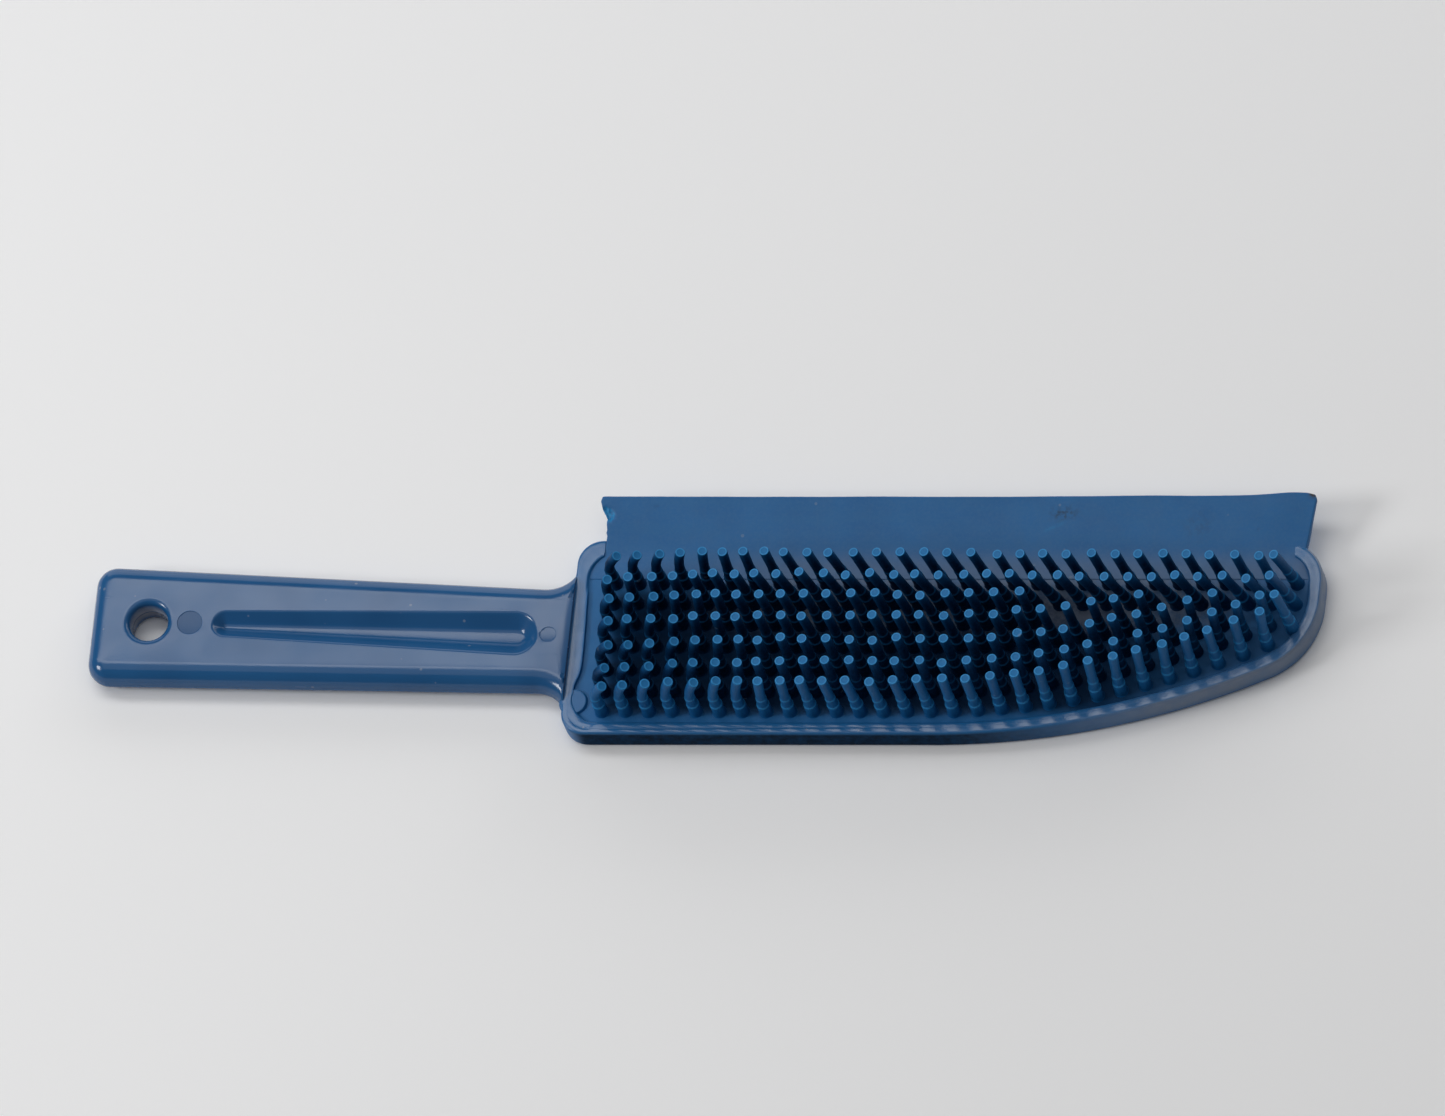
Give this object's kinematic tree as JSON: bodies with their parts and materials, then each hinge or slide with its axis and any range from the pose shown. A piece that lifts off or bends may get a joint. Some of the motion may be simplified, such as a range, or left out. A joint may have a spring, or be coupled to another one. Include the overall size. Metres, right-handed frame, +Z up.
{
  "type": "rubber pet-hair hand brush",
  "caption": "Hand brush with a rigid fluted handle, a knife-shaped rubber head full of round pins inside a raised rim, and a squeegee blade along its straight edge.",
  "frame": {"origin": "below the middle of the whole brush, on the surface it lies on", "axes": "+X along the brush from the handle's end to the nose, +Y towards the squeegee blade, +Z up, the way the pins point when the brush lies on its back"},
  "size_m": [0.3228, 0.0668, 0.0245],
  "materials": {
    "handle_plastic": "glossy moulded polypropylene",
    "rubber": "satin moulded rubber with a faint grey bloom",
    "pin_rubber": "satin moulded rubber"
  },
  "bodies": {
    "root": {"handle": "handle_plastic", "rubber_head": "rubber", "squeegee_blade": "rubber", "pin_row_1": "pin_rubber", "pin_row_2": "pin_rubber", "pin_row_3": "pin_rubber", "pin_row_4": "pin_rubber", "pin_row_5": "pin_rubber", "pin_row_6": "pin_rubber", "pin_row_7": "pin_rubber"}
  },
  "joints": []
}
